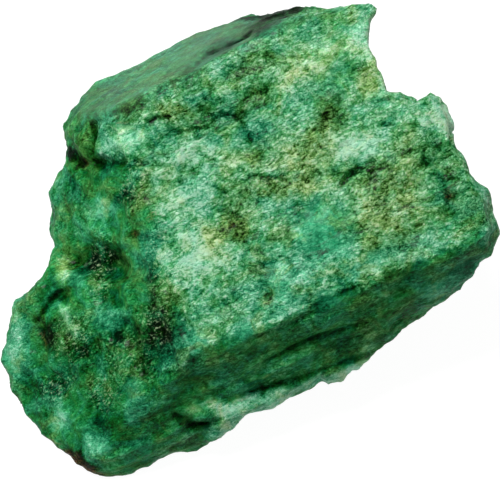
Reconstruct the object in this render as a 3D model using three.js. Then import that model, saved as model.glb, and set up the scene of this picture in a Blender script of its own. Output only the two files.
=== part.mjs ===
// A rough emerald crystal lying on its flattest side, in millimetres, +Z up.
//
// The stone is a piece of a six-sided beryl prism. Three prism faces can be followed on it: the broad face on
// top, a smooth bevel at the back and a shaded face at the front. Both ends are broken, and a lobe stands out at
// the left.
// It is built in the stone's own frame, where U runs to the right, V runs up the broad face and W points out of
// it. That frame then leans forward to the way the stone lies. The origin is at the bottom, in the middle of the
// stone's length and depth.
import * as THREE from 'three';
import { mergeVertices } from 'three/addons/utils/BufferGeometryUtils.js';

// Driving dimensions, in millimetres and degrees.
const GRID_STEPS = 24;              // squares along each edge of the grid of directions
const HALF_SIZES = [29, 28, 14];    // half the stone's size along U, V and W, which spaces that grid
const LEAN = 25;                    // how far the stone's own frame leans forward
const REST_HEIGHT = 9.5;            // the stone's middle above the surface it lies on
const AXIS_TURN = 27;               // the prism's long axis, turned up from U
const BROAD_FACE_TURN = 12;         // the broad face, turned about that axis
const PRISM_STEP = 60;              // turn from one prism face to the next
const FACE_SHARPNESS = 30;          // the higher, the crisper the edges between faces
const JOIN_SHARPNESS = 24;          // the same where the lobe meets the body
const RIM_SHARPNESS = 40;           // the same for the rim
const RIM_SLOPE_FRONT = 0.3;        // how fast the side closes in on the W side of the rim
const RIM_SLOPE_BACK = 0.35;        // the same on the far side
const CALM_STEP = 6;                // the far side's outline is evened out over steps of this turn,
const CALM_REACH = 3;               // this many of them to either side

const degrees = THREE.MathUtils.degToRad;

// Prism faces: how many prism steps from the broad face, and the distance from the stone's middle.
const PRISM_FACES = [
  { steps: 0, distance: 11.5 },     // the broad face on top
  { steps: 1, distance: 22.9 },     // the smooth bevel at the back
  { steps: 2, distance: 25.2 },     // the face under the bevel
  { steps: -1, distance: 17.3 },    // the shaded face at the front
  { steps: -2, distance: 18.2 },    // the undercut below it
];

// Broken faces: which way they look, and their distance from the stone's middle.
const BODY_BREAKS = [
  { normal: [-0.66, -0.22, 0.72], distance: 14.7 },   // the broken left end
  { normal: [0.80, 0.42, 0.43], distance: 30.5 },     // the right end
  { normal: [0.72, 0.20, -0.66], distance: 24.0 },    // under the right end
  { normal: [-0.62, -0.10, -0.78], distance: 22.5 },  // under the left end
];
const LOBE_BREAKS = [
  { normal: [-0.55, -0.02, 0.83], distance: 15.9 },   // the lobe's top
  { normal: [-0.10, -0.62, 0.78], distance: 24.5 },   // its front
  { normal: [-0.30, 0.80, 0.52], distance: 4.6 },     // its back, where it meets the body
  { normal: [-0.62, -0.10, -0.78], distance: 22.5 },  // under it
];

// The rim: the corners of the stone's widest outline as [U, V, W], counter-clockwise from the right tip.
const RIM = [
  [30.1, 1.4, 10], [29.8, 3.0, 10], [28.5, 6.3, 9], [26.4, 9.2, 9], [25.5, 11.2, 8], [24.2, 13.3, 8],
  [24.4, 14.6, 8], [23.9, 15.7, 8], [22.1, 17.5, 7], [20.2, 16.5, 7], [18.2, 18.1, 7], [16.9, 18.2, 7],
  [16.3, 19.6, 7], [14.6, 23.1, 6], [14.5, 25.1, 6], [15.0, 28.0, 5], [12.5, 29.0, 5], [8.7, 28.6, 3],
  [4.0, 28.3, -1], [0.0, 27.9, -4], [-7.4, 25.3, -6], [-11.2, 23.6, -7], [-18.3, 20.1, -7],
  [-22.0, 16.8, -6], [-22.9, 13.9, -5], [-22.4, 11.4, -4], [-22.8, 10.2, -4], [-24.5, 6.8, -4],
  [-24.9, 1.9, -3], [-23.6, -0.8, -3], [-25.0, -3.9, -3], [-28.3, -7.8, -2], [-29.9, -11.7, -1.5],
  [-30.5, -15.3, -1], [-29.2, -17.9, 0], [-26.3, -22.9, 2], [-22.5, -26.1, 3], [-18.8, -28.3, 4],
  [-15.5, -29.1, 4.5], [-9.9, -26.0, 3.5], [-6.4, -25.9, 3], [-3.3, -23.7, 4], [0.0, -20.9, 4.5],
  [3.9, -19.4, 4], [11.8, -16.2, 3], [14.8, -14.6, 3.5], [17.1, -12.2, 4.5], [17.7, -10.7, 5],
  [23.4, -7.1, 6], [26.6, -4.7, 6.5], [28.8, -1.5, 9],
].map((corner) => new THREE.Vector3(...corner));

// Hollows and swellings on the W side: the middle in U and V, the half sizes, the turn and the height.
const SPOTS = [
  { middle: [-21.3, 10.2], half: [2.0, 1.1], turn: -20, height: -1.6 },    // notch under the knob
  { middle: [-15.2, 9.5], half: [4.0, 1.1], turn: 0, height: -0.8 },       // trench that runs in from it
  { middle: [-15.5, -11.8], half: [1.5, 1.6], turn: 0, height: -1.5 },     // pits in the broken left end
  { middle: [-8.4, -11.0], half: [1.6, 1.7], turn: 20, height: -1.6 },
  { middle: [-22.9, -17.9], half: [1.6, 1.9], turn: 0, height: -1.1 },
  { middle: [-18.0, -6.0], half: [4.5, 6.5], turn: 10, height: -1.2 },     // wide hollow of the left end
  { middle: [-24.8, -9.0], half: [1.2, 3.6], turn: -35, height: -0.8 },    // trough behind the lobe's edge
  { middle: [-18.1, -25.0], half: [2.4, 1.7], turn: 20, height: 0.9 },     // smooth knob on the lobe's tip
  { middle: [-5.6, -20.0], half: [2.3, 1.3], turn: 12, height: 0.5 },      // chipped corner
  { middle: [-6.1, -22.2], half: [2.8, 1.1], turn: 15, height: -1.2 },     // crevice under it
  { middle: [24.2, 5.8], half: [1.1, 3.4], turn: 10, height: -0.8 },       // groove near the right end
  { middle: [18.3, -5.3], half: [1.5, 2.0], turn: -30, height: -0.6 },     // scoop in the shaded face
];

// The ledge along the foot of the shaded face: its line in U and V, its height and how softly it starts.
const LEDGE_LINE = { slope: 0.32, level: -18.6, from: -6, to: 18, fade: 3 };
const LEDGE_HEIGHT = 0.8;
const LEDGE_SOFTNESS = 0.5;

// A prism face's normal: W turned about the prism axis, towards the direction across it.
function prismNormal(steps) {
  const turn = degrees(BROAD_FACE_TURN + steps * PRISM_STEP);
  const acrossU = -Math.sin(degrees(AXIS_TURN));
  const acrossV = Math.cos(degrees(AXIS_TURN));
  return new THREE.Vector3(acrossU * Math.sin(turn), acrossV * Math.sin(turn), Math.cos(turn));
}

function brokenFace({ normal, distance }) {
  return { normal: new THREE.Vector3(...normal).normalize(), distance };
}

const PRISM = PRISM_FACES.map(({ steps, distance }) => ({ normal: prismNormal(steps), distance }));
const BODY = [...PRISM, ...BODY_BREAKS.map(brokenFace)];
const LOBE = [...PRISM, ...LOBE_BREAKS.map(brokenFace)];

// The rim's length up to each corner, and its turn there.
const RIM_LENGTHS = [0];
RIM.forEach((corner, i) => {
  const next = RIM[(i + 1) % RIM.length];
  RIM_LENGTHS.push(RIM_LENGTHS[i] + Math.hypot(next.x - corner.x, next.y - corner.y));
});

// Distance from the middle to the outline seen along W, and the rim's W there, at a turn from U.
function rimAt(turn) {
  const u = Math.cos(turn);
  const v = Math.sin(turn);
  for (let i = 0; i < RIM.length; i += 1) {
    const from = RIM[i];
    const to = RIM[(i + 1) % RIM.length];
    const past = from.x * v - from.y * u;
    const ahead = u * to.y - v * to.x;
    if (past >= 0 && ahead > 0) {
      const across = u * (to.y - from.y) - v * (to.x - from.x);
      const radius = (from.x * to.y - from.y * to.x) / across;
      return { radius, height: THREE.MathUtils.lerp(from.z, to.z, past / across) };
    }
  }
  throw new Error('the rim does not go round the middle');
}

// The outline's distance evened out over the turns near by.
function calmRadius(turn) {
  let sum = 0;
  for (let step = -CALM_REACH; step <= CALM_REACH; step += 1) {
    sum += rimAt(turn + degrees(step * CALM_STEP)).radius;
  }
  return sum / (2 * CALM_REACH + 1);
}

// The turn of the point that lies a given share of the rim's length from its first corner.
function turnAlongRim(share) {
  const length = share * RIM_LENGTHS[RIM.length];
  const i = Math.min(RIM_LENGTHS.findLastIndex((start) => start <= length), RIM.length - 1);
  const part = (length - RIM_LENGTHS[i]) / (RIM_LENGTHS[i + 1] - RIM_LENGTHS[i]);
  const next = RIM[(i + 1) % RIM.length];
  return Math.atan2(THREE.MathUtils.lerp(RIM[i].y, next.y, part), THREE.MathUtils.lerp(RIM[i].x, next.x, part));
}

// The power mean of distances: a large positive power picks the largest, a large negative one the smallest.
function powerMean(distances, power) {
  return distances.reduce((total, distance) => total + distance ** power, 0) ** (1 / power);
}

// Distance to the nearest of a set of faces in one direction.
function reachOfFaces(faces, direction) {
  const ahead = faces
    .map((face) => face.distance / face.normal.dot(direction))
    .filter((distance) => distance > 0);
  return powerMean(ahead, -FACE_SHARPNESS);
}

// Height of the hollows, the swellings and the ledge at a point of the W side.
function reliefAt(point) {
  let height = 0;
  for (const { middle, half, turn, height: spotHeight } of SPOTS) {
    const cosine = Math.cos(degrees(turn));
    const sine = Math.sin(degrees(turn));
    const du = point.x - middle[0];
    const dv = point.y - middle[1];
    const along = (du * cosine + dv * sine) / half[0];
    const across = (dv * cosine - du * sine) / half[1];
    height += spotHeight * Math.exp(-(along * along + across * across));
  }
  const below = LEDGE_LINE.level + LEDGE_LINE.slope * point.x - point.y;
  const onLedge = THREE.MathUtils.smoothstep(point.x, LEDGE_LINE.from, LEDGE_LINE.from + LEDGE_LINE.fade)
    * (1 - THREE.MathUtils.smoothstep(point.x, LEDGE_LINE.to - LEDGE_LINE.fade, LEDGE_LINE.to));
  height += LEDGE_HEIGHT * onLedge / (1 + Math.exp(-below / LEDGE_SOFTNESS));
  return height * THREE.MathUtils.smoothstep(point.z, -4, 2);
}

// Distance from the stone's middle to its surface, in one direction of the stone's own frame.
function reachTowards(direction) {
  const body = reachOfFaces(BODY, direction);
  const lobe = reachOfFaces(LOBE, direction);
  const smooth = powerMean([body, lobe], JOIN_SHARPNESS);
  const faces = smooth + reliefAt(direction.clone().multiplyScalar(smooth));

  const flat = Math.hypot(direction.x, direction.y);
  const turn = Math.atan2(direction.y, direction.x);
  const rim = rimAt(turn);
  const calm = THREE.MathUtils.smoothstep(-direction.z, 0.05, 0.5);
  const evenOut = 2 ** (1 / RIM_SHARPNESS);
  const frontRadius = rim.radius * evenOut;
  const backRadius = THREE.MathUtils.lerp(rim.radius, calmRadius(turn), calm) * evenOut;
  const front = (frontRadius + RIM_SLOPE_FRONT * rim.height) / (flat + RIM_SLOPE_FRONT * direction.z);
  const back = (backRadius - RIM_SLOPE_BACK * rim.height) / (flat - RIM_SLOPE_BACK * direction.z);
  return powerMean([faces, front, back].filter((distance) => distance > 0), -RIM_SHARPNESS);
}

// A direction turned about W so that the grid's lines cross the rim at even steps along its length.
function spreadAlongRim(direction) {
  const turn = Math.atan2(direction.y, direction.x);
  const start = Math.atan2(RIM[0].y, RIM[0].x);
  const fullTurn = 2 * Math.PI;
  const share = THREE.MathUtils.euclideanModulo(turn - start, fullTurn) / fullTurn;
  const shift = THREE.MathUtils.euclideanModulo(turnAlongRim(share) - turn + Math.PI, fullTurn) - Math.PI;
  const flat = Math.hypot(direction.x, direction.y);
  const newTurn = turn + shift * flat * flat;
  return new THREE.Vector3(flat * Math.cos(newTurn), flat * Math.sin(newTurn), direction.z);
}

// Where the surface is in the lying stone's frame. What would reach below z = 0 ends flat there.
function surfacePoint(direction) {
  const lean = degrees(LEAN);
  const across = direction.y * Math.cos(lean) - direction.z * Math.sin(lean);
  const up = direction.y * Math.sin(lean) + direction.z * Math.cos(lean);
  const reach = reachTowards(direction);
  if (up * reach < -REST_HEIGHT) {
    const reachToBase = REST_HEIGHT / -up;
    return new THREE.Vector3(direction.x * reachToBase, across * reachToBase, 0);
  }
  return new THREE.Vector3(direction.x * reach, across * reach, up * reach + REST_HEIGHT);
}

// The closed skin: a cube's grid blown up onto the surface, its squares evened out by a tangent spacing.
function crystalGeometry() {
  const cube = new THREE.BoxGeometry(2, 2, 2, GRID_STEPS, GRID_STEPS, GRID_STEPS);
  cube.deleteAttribute('normal');
  cube.deleteAttribute('uv');
  const geometry = mergeVertices(cube, 1e-4);
  const places = geometry.getAttribute('position');
  const quarter = Math.PI / 4;
  for (let i = 0; i < places.count; i += 1) {
    const direction = new THREE.Vector3(
      HALF_SIZES[0] * Math.tan(places.getX(i) * quarter),
      HALF_SIZES[1] * Math.tan(places.getY(i) * quarter),
      HALF_SIZES[2] * Math.tan(places.getZ(i) * quarter),
    ).normalize();
    const point = surfacePoint(spreadAlongRim(direction));
    places.setXYZ(i, point.x, point.y, point.z);
  }
  geometry.computeBoundingBox();
  const middle = geometry.boundingBox.getCenter(new THREE.Vector3());
  geometry.translate(-middle.x, -middle.y, 0);
  geometry.computeVertexNormals();
  return geometry;
}

const emeraldGreen = new THREE.MeshStandardMaterial({ color: 0x3f9468, roughness: 0.45, metalness: 0 });

const crystal = new THREE.Mesh(crystalGeometry(), emeraldGreen);
crystal.name = 'emerald_crystal';

const stone = new THREE.Group();
stone.add(crystal);

export default stone;
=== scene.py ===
import math

import bpy
import numpy as np
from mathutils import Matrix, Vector


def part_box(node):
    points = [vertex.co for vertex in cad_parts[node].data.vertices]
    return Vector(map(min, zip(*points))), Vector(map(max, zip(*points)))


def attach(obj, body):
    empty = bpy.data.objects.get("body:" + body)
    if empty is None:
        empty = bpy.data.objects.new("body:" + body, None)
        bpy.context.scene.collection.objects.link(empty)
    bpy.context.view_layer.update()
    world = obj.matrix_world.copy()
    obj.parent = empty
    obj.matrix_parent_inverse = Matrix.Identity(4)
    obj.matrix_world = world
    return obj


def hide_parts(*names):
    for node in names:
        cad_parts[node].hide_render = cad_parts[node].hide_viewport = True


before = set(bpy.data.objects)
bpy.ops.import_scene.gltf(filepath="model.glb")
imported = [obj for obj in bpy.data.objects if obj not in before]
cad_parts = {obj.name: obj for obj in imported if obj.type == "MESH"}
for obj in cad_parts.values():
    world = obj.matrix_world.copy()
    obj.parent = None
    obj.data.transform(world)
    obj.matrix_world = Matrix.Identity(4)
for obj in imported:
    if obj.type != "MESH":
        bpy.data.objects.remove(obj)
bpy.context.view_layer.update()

NODE = "emerald_crystal"
frame_low, frame_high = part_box(NODE)

# ---- the stone's driving sizes, in its own millimetres and degrees ----
LENGTH = 60.0                       # the stone's length in its own millimetres, which the frame's length sets
GRID_STEPS = 127                    # squares along each edge of the cube of directions
HALF_SIZES = np.array([29.0, 28.0, 14.0])   # half the stone's size along U, V and W, which spaces the grids
LEAN = math.radians(25)             # how far the stone's own frame leans forward
REST_HEIGHT = 9.5                   # the stone's middle above the surface that it lies on
AXIS_TURN = math.radians(27)        # the prism's long axis, turned up from U
BROAD_FACE_TURN = 12                # the broad face, turned about that axis
PRISM_STEP = 60                     # turn from one prism face to the next
FACE_SHARPNESS = 55.0               # the higher, the crisper the edges between faces
JOIN_SHARPNESS = 24.0               # the same where the lobe meets the body
RIM_SHARPNESS = 40.0                # the same for the rim
SHARE_FROM = 0.93                   # a face counts where it is at least this near to being the surface
RIM_SLOPE_FRONT = 0.3               # how fast the side closes in on the W side of the rim
RIM_SLOPE_BACK = 0.35               # the same on the far side
CALM_STEP = 6.0                     # the far side's outline is evened out over steps of this turn,
CALM_REACH = 3                      # this many of them to either side,
CALM_FROM, CALM_TO = 0.05, 0.5      # more and more as the direction turns to the far side

METRES = (frame_high[0] - frame_low[0]) / LENGTH    # one stone millimetre, in metres of the frame

# Prism faces: how many prism steps from the broad face, and the distance from the stone's middle. The shaded
# face is turned a little off the prism, so that its edge rises less steeply. It joins them at its own place.
PRISM_FACES = [(0, 11.5), (1, 22.9), (2, 25.2), (-2, 18.2)]
SHADED_FACE = ((0.25, -0.65, 0.72), 16.85)
BROAD, BEVEL, UNDER_BEVEL, SHADED, UNDERCUT = range(5)

# Broken faces: which way they look, and their distance from the stone's middle.
BODY_BREAKS = [
    ((-0.70, -0.05, 0.71), 15.7),       # the broken left end
    ((0.80, 0.42, 0.43), 30.5),         # the right end
    ((0.72, 0.20, -0.66), 24.0),        # under the right end
    ((-0.62, -0.10, -0.78), 22.5),      # under the left end
]
LOBE_BREAKS = [
    ((-0.55, -0.02, 0.83), 15.9),       # the lobe's top
    ((-0.10, -0.62, 0.78), 24.5),       # its front
    ((-0.30, 0.80, 0.52), 4.6),         # its back, where it meets the body
    ((-0.62, -0.10, -0.78), 22.5),      # under it
]

# The rim: the corners of the stone's widest outline in U, V and W, counter-clockwise from the right tip.
RIM = np.array([
    [29.3, 1.4, 10], [28.8, 3.0, 10], [27.7, 6.5, 9], [26.4, 9.2, 9], [25.5, 11.2, 8], [24.2, 13.0, 8],
    [24.4, 14.3, 8], [23.9, 15.7, 8], [22.1, 17.5, 7], [20.2, 16.5, 7], [18.2, 18.1, 7], [16.9, 18.2, 7],
    [16.3, 19.6, 7], [14.6, 23.1, 6], [14.5, 25.1, 6], [14.8, 27.9, 5], [12.5, 28.6, 5], [8.7, 28.0, 3],
    [4.0, 28.6, -1], [0.0, 28.4, -4], [-7.2, 26.4, -6], [-11.2, 23.6, -7], [-18.3, 20.1, -7],
    [-22.0, 16.8, -6], [-22.9, 13.9, -5], [-22.4, 11.4, -4], [-22.8, 10.2, -4], [-24.5, 6.8, -4],
    [-24.9, 1.9, -3], [-23.6, -0.8, -3], [-25.0, -3.9, -3], [-28.6, -7.8, -2], [-30.5, -11.4, -1.5],
    [-31.1, -15.3, -1], [-29.9, -18.2, 0], [-26.3, -22.9, 2], [-22.5, -26.1, 3], [-18.8, -28.3, 4],
    [-15.5, -29.1, 4.5], [-9.9, -26.0, 3.5], [-6.4, -25.9, 3], [-3.3, -23.7, 4.5], [0.0, -20.9, 5],
    [3.9, -19.5, 5], [7.5, -18.3, 4.7], [12.2, -15.2, 4.5], [15.0, -13.9, 5], [17.4, -12.4, 5],
    [18.2, -10.7, 5], [23.4, -7.1, 6], [26.6, -4.7, 6.5], [28.8, -1.5, 9],
])

# Hollows and swellings on the W side: middle U and V, half sizes, turn in degrees, height.
SPOTS = [
    (-21.3, 10.2, 1.7, 0.9, -20, -1.8),     # the notch under the knob
    (-20.6, 12.6, 1.5, 1.8, 0, 0.5),        # the knob
    (-15.5, -11.8, 1.3, 1.5, 0, -0.9),      # pits in the broken left end
    (-8.4, -11.0, 1.4, 1.6, 20, -0.8),
    (-22.9, -17.9, 1.4, 1.8, 0, -0.7),
    (-18.0, -6.0, 4.5, 6.5, 10, -1.2),      # its wide hollow
    (-17.9, -3.5, 1.4, 3.0, 0, -0.7),
    (-18.1, -25.0, 2.4, 1.7, 20, 0.9),      # the smooth knob on the lobe's tip, and the edge below it
    (-18.8, -26.8, 1.5, 0.6, 20, -0.8),
    (-5.6, -20.0, 2.3, 1.1, 12, 0.6),       # the chipped corner, and the crevice under it
    (-6.1, -22.2, 2.4, 0.8, 15, -0.5),
    (18.3, -5.3, 1.3, 2.0, -30, -0.6),      # the scoop in the shaded face
    (1.9, -6.2, 1.0, 0.7, 0, -0.7),         # the pit in the broad face
    (11.0, 16.2, 0.7, 1.6, -15, -0.5),
    (14.0, 10.5, 3.5, 1.8, 27, 0.4),        # low swellings and dips of the broad face
    (-6.5, -2.5, 5.0, 3.5, 27, 0.4),
    (19.0, 2.0, 5.0, 4.0, 27, -0.35),
    (2.5, 4.0, 5.0, 1.6, 20, -0.4),
]
RELIEF_FROM, RELIEF_TO = -4.0, 2.0      # the W over which the W side's relief fades in

# Cracks and trenches: corners in U and V, half width, depth.
CRACKS = [
    ([(-19.0, 13.5), (-19.2, 10.1)], 0.4, 0.7),
    ([(-18.9, 9.7), (-14.9, 9.5), (-11.5, 9.1)], 0.9, 0.6),
    ([(-18.7, 14.1), (-14.4, 15.9), (-13.1, 16.1), (-9.5, 18.7), (-4.3, 23.1), (0.0, 24.9)], 0.5, 0.5),
    ([(-11.1, 0.2), (-9.8, -5.9), (-8.4, -11.0)], 1.2, 0.6),
    ([(-22.4, -6.3), (-24.7, -8.4), (-25.9, -10.6), (-25.1, -15.1), (-23.3, -18.8)], 0.8, 0.9),
    ([(23.0, 9.5), (24.5, 5.7), (24.1, 2.8)], 0.8, 0.9),
    ([(11.0, 6.3), (12.1, 8.1), (14.8, 9.5)], 0.4, 0.5),
]

# The ledge along the foot of the shaded face: its line V = slope * U + level, its ends in U, its step and how
# softly that starts, and how much more it rises for each millimetre below the line, up to a limit.
LEDGE_SLOPE, LEDGE_LEVEL = 0.32, -18.6
LEDGE_FROM, LEDGE_TO, LEDGE_FADE = -6.0, 18.0, 3.0
LEDGE_HEIGHT = 0.8
LEDGE_SOFTNESS = 0.3
LEDGE_RISE = 0.6
LEDGE_LIMIT = 2.2

# Borders of the broad face on the left and below, and the foot of the shaded face below it, in U and V.
BORDER = np.array([
    (-10.4, -16.0), (-10.0, -12.6), (-7.6, -10.8), (-8.7, -6.0), (-11.0, -1.0), (-11.5, 3.2), (-13.2, 6.9),
    (-14.7, 9.2), (-18.9, 9.9), (-18.4, 16.0),
])
RIDGE = np.array([
    (-9.2, -15.7), (-4.9, -12.7), (0.0, -10.8), (3.9, -9.8), (6.9, -8.2), (9.3, -6.2), (11.6, -5.8),
    (16.0, -4.7), (17.5, -3.5), (19.5, -3.0), (22.0, -1.9), (24.4, -0.8), (26.5, 1.2),
])
FOOT = np.array([
    (-9.2, -18.0), (0.0, -18.3), (4.9, -16.8), (10.9, -14.6), (15.5, -13.0), (17.6, -10.0), (20.8, -7.2),
    (23.3, -5.8), (28.2, -1.9),
])


# ---- small tools ----

def smooth(value, low, high):
    """0 below low, 1 above high, and 3t^2 - 2t^3 between them."""
    t = np.clip((value - low) / (high - low), 0.0, 1.0)
    return t * t * (3.0 - 2.0 * t)


TABLE_SIZE = 256                    # seeded entries that the cells of a lattice pick from
NOISE_GAIN = 1.6
LAYER_SHIFT = 17.3                  # keeps the layers of a layered noise from lining up
CHIP_TILT, CHIP_LEVEL, CHIP_MIDDLE = 0.5, 0.35, 0.3


def pick_at(order, cell):
    """One seeded table entry for each cell: the shuffled order, looked up along one axis after the other."""
    picked = order[cell[..., 0] % TABLE_SIZE]
    picked = order[(picked + cell[..., 1]) % TABLE_SIZE]
    return order[(picked + cell[..., 2]) % TABLE_SIZE]


def turned_noise(seed):
    """Gradient noise: at each corner of a unit lattice a seeded random direction, dotted with the way to the
    point and blended by 6t^5 - 15t^4 + 10t^3. Gives about -1 to 1."""
    draw = np.random.default_rng(seed)
    order = draw.permutation(TABLE_SIZE)
    slopes = draw.normal(size=(TABLE_SIZE, 3))
    slopes /= np.linalg.norm(slopes, axis=1, keepdims=True)

    def noise(points):
        cell = np.floor(points).astype(np.int64)
        rest = points - cell
        blend = rest ** 3 * (rest * (rest * 6.0 - 15.0) + 10.0)
        total = np.zeros(points.shape[:-1])
        for corner in np.ndindex(2, 2, 2):
            slope = slopes[pick_at(order, cell + np.array(corner))]
            share = np.prod(np.where(corner, blend, 1.0 - blend), axis=-1)
            total += share * np.einsum("...k,...k->...", slope, rest - np.array(corner))
        return total * NOISE_GAIN
    return noise


def layered(noise, points, size, layers):
    """Sum of noise at size, size/2, size/4 and so on, each layer half as strong as the last."""
    total = np.zeros(points.shape[:-1])
    for layer in range(layers):
        total += 0.5 ** layer * noise(points * (2.0 ** layer / size) + LAYER_SHIFT * layer)
    return total


def chipped(seed):
    """Scooped chips: one seeded centre in each cell of a unit lattice, each the bottom of a bowl with its own
    tilt and level. The lowest bowl wins, so sharp crests run between them. Gives about -0.5 to 0.5."""
    draw = np.random.default_rng(seed)
    order = draw.permutation(TABLE_SIZE)
    centres = draw.random((TABLE_SIZE, 3))
    tilts = CHIP_TILT * draw.normal(size=(TABLE_SIZE, 3))
    levels = CHIP_LEVEL * draw.random(TABLE_SIZE)

    def chips(points):
        cell = np.floor(points).astype(np.int64)
        lowest = np.full(points.shape[:-1], np.inf)
        for corner in np.ndindex(3, 3, 3):
            at = cell + np.array(corner) - 1
            picked = pick_at(order, at)
            away = points - at - centres[picked]
            bowl = np.einsum("...k,...k->...", away, away + tilts[picked]) + levels[picked]
            lowest = np.minimum(lowest, bowl)
        return lowest - CHIP_MIDDLE
    return chips


def unit(vector):
    vector = np.asarray(vector, dtype=float)
    return vector / np.linalg.norm(vector)


def prism_normal(steps):
    """W turned about the prism axis, towards the direction across it."""
    turn = math.radians(BROAD_FACE_TURN + steps * PRISM_STEP)
    sine = math.sin(turn)
    return np.array([-math.sin(AXIS_TURN) * sine, math.cos(AXIS_TURN) * sine, math.cos(turn)])


# ---- the stone's shape ----

PRISM = [(prism_normal(steps), distance) for steps, distance in PRISM_FACES]
PRISM.insert(SHADED, (unit(SHADED_FACE[0]), SHADED_FACE[1]))
BODY = PRISM + [(unit(normal), distance) for normal, distance in BODY_BREAKS]
LOBE = PRISM + [(unit(normal), distance) for normal, distance in LOBE_BREAKS]
RIM_TURNS = np.unwrap(np.arctan2(RIM[:, 1], RIM[:, 0]))


def rim_at(turn):
    """Distance to the rim's outline and the rim's W, where the ray at a turn from U crosses the straight edge
    between two rim corners."""
    wrapped = (turn - RIM_TURNS[0]) % (2 * np.pi) + RIM_TURNS[0]
    index = np.searchsorted(RIM_TURNS, wrapped, side="right") - 1
    start, end = RIM[index], RIM[(index + 1) % len(RIM)]
    u, v = np.cos(turn), np.sin(turn)
    across = u * (end[..., 1] - start[..., 1]) - v * (end[..., 0] - start[..., 0])
    radius = (start[..., 0] * end[..., 1] - start[..., 1] * end[..., 0]) / across
    share = (start[..., 0] * v - start[..., 1] * u) / across
    return radius, start[..., 2] + share * (end[..., 2] - start[..., 2])


def spread_along_rim(direction):
    """Turns each direction about W so that even turns become even steps along the rim's length, by the square
    of how flat the direction lies."""
    closed = np.vstack([RIM, RIM[:1]])
    steps = np.hypot(np.diff(closed[:, 0]), np.diff(closed[:, 1]))
    lengths = np.concatenate([[0.0], np.cumsum(steps)])
    turn = np.arctan2(direction[..., 1], direction[..., 0])
    length = (turn - RIM_TURNS[0]) % (2 * np.pi) / (2 * np.pi) * lengths[-1]
    rim_u = np.interp(length, lengths, closed[:, 0])
    rim_v = np.interp(length, lengths, closed[:, 1])
    rim_turn = np.arctan2(rim_v, rim_u)
    shift = (rim_turn - turn + np.pi) % (2 * np.pi) - np.pi
    flat = np.hypot(direction[..., 0], direction[..., 1])
    new_turn = turn + shift * flat ** 2
    return np.stack([flat * np.cos(new_turn), flat * np.sin(new_turn), direction[..., 2]], axis=-1)


def reach_of_faces(faces, direction):
    """Smooth smallest distance to a set of planes: the power mean of distance / (normal . direction)."""
    nearness = [np.maximum(direction @ normal / distance, 1e-4) for normal, distance in faces]
    return (np.stack(nearness) ** FACE_SHARPNESS).sum(axis=0) ** (-1.0 / FACE_SHARPNESS)


def distance_to_path(u, v, path):
    """Distance in U and V to the nearest of a path's straight stretches."""
    nearest = np.full(u.shape, 1e9)
    for (u0, v0), (u1, v1) in zip(path[:-1], path[1:]):
        length2 = (u1 - u0) ** 2 + (v1 - v0) ** 2
        share = np.clip(((u - u0) * (u1 - u0) + (v - v0) * (v1 - v0)) / length2, 0.0, 1.0)
        nearest = np.minimum(nearest, np.hypot(u - u0 - share * (u1 - u0), v - v0 - share * (v1 - v0)))
    return nearest


def spot(u, v, middle_u, middle_v, half_along, half_across, turn, edge=1.0):
    """exp(-(a^2 + b^2)^edge), where a and b are the offsets along and across the turned spot, each over its
    half size. A higher edge gives a firmer border."""
    cosine, sine = math.cos(math.radians(turn)), math.sin(math.radians(turn))
    along = ((u - middle_u) * cosine + (v - middle_v) * sine) / half_along
    across = ((v - middle_v) * cosine - (u - middle_u) * sine) / half_across
    return np.exp(-(along ** 2 + across ** 2) ** edge)


def along_ledge(u):
    """1 along the ledge, fading to 0 at both of its ends."""
    ending = smooth(u, LEDGE_TO - 2 * LEDGE_FADE, LEDGE_TO)
    return smooth(u, LEDGE_FROM, LEDGE_FROM + LEDGE_FADE) * (1.0 - ending)


def relief_at(point):
    """Heights of the spots, the cracks and the ledge at points of the W side."""
    u, v = point[..., 0], point[..., 1]
    height = np.zeros(u.shape)
    for middle_u, middle_v, half_along, half_across, turn, spot_height in SPOTS:
        height += spot_height * spot(u, v, middle_u, middle_v, half_along, half_across, turn)
    for path, half_width, depth in CRACKS:
        height -= depth * np.exp(-(distance_to_path(u, v, path) / half_width) ** 2)
    below = LEDGE_LEVEL + LEDGE_SLOPE * u - v
    step = LEDGE_HEIGHT / (1.0 + np.exp(-below / LEDGE_SOFTNESS))
    height += along_ledge(u) * (step + LEDGE_RISE * np.clip(below, 0.0, LEDGE_LIMIT))
    return height * smooth(point[..., 2], RELIEF_FROM, RELIEF_TO)


def reach_towards(direction):
    """Distance from the stone's middle to its surface: the larger of body and lobe, plus relief, cut by the
    cones that close in on both sides of the rim. Also how much of each place is the rim's side."""
    body = reach_of_faces(BODY, direction)
    lobe = reach_of_faces(LOBE, direction)
    plain = (body ** JOIN_SHARPNESS + lobe ** JOIN_SHARPNESS) ** (1.0 / JOIN_SHARPNESS)
    faces = plain + relief_at(direction * plain[..., None])
    flat = np.hypot(direction[..., 0], direction[..., 1])
    turn = np.arctan2(direction[..., 1], direction[..., 0])
    radius, height = rim_at(turn)
    steps = np.radians(np.arange(-CALM_REACH, CALM_REACH + 1) * CALM_STEP)
    calm = np.mean([rim_at(turn + step)[0] for step in steps], axis=0)
    back_radius = radius + (calm - radius) * smooth(-direction[..., 2], CALM_FROM, CALM_TO)

    # both cones are half of the rim's power mean, so each is set back by this factor to meet the outline
    even = 2.0 ** (1.0 / RIM_SHARPNESS)
    front = np.maximum(flat + RIM_SLOPE_FRONT * direction[..., 2], 1e-3)
    front = front / (radius * even + RIM_SLOPE_FRONT * height)
    back = np.maximum(flat - RIM_SLOPE_BACK * direction[..., 2], 1e-3)
    back = back / (back_radius * even - RIM_SLOPE_BACK * height)
    rim = front ** RIM_SHARPNESS + back ** RIM_SHARPNESS
    total = faces ** -RIM_SHARPNESS + rim
    return total ** (-1.0 / RIM_SHARPNESS), rim / total


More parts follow.
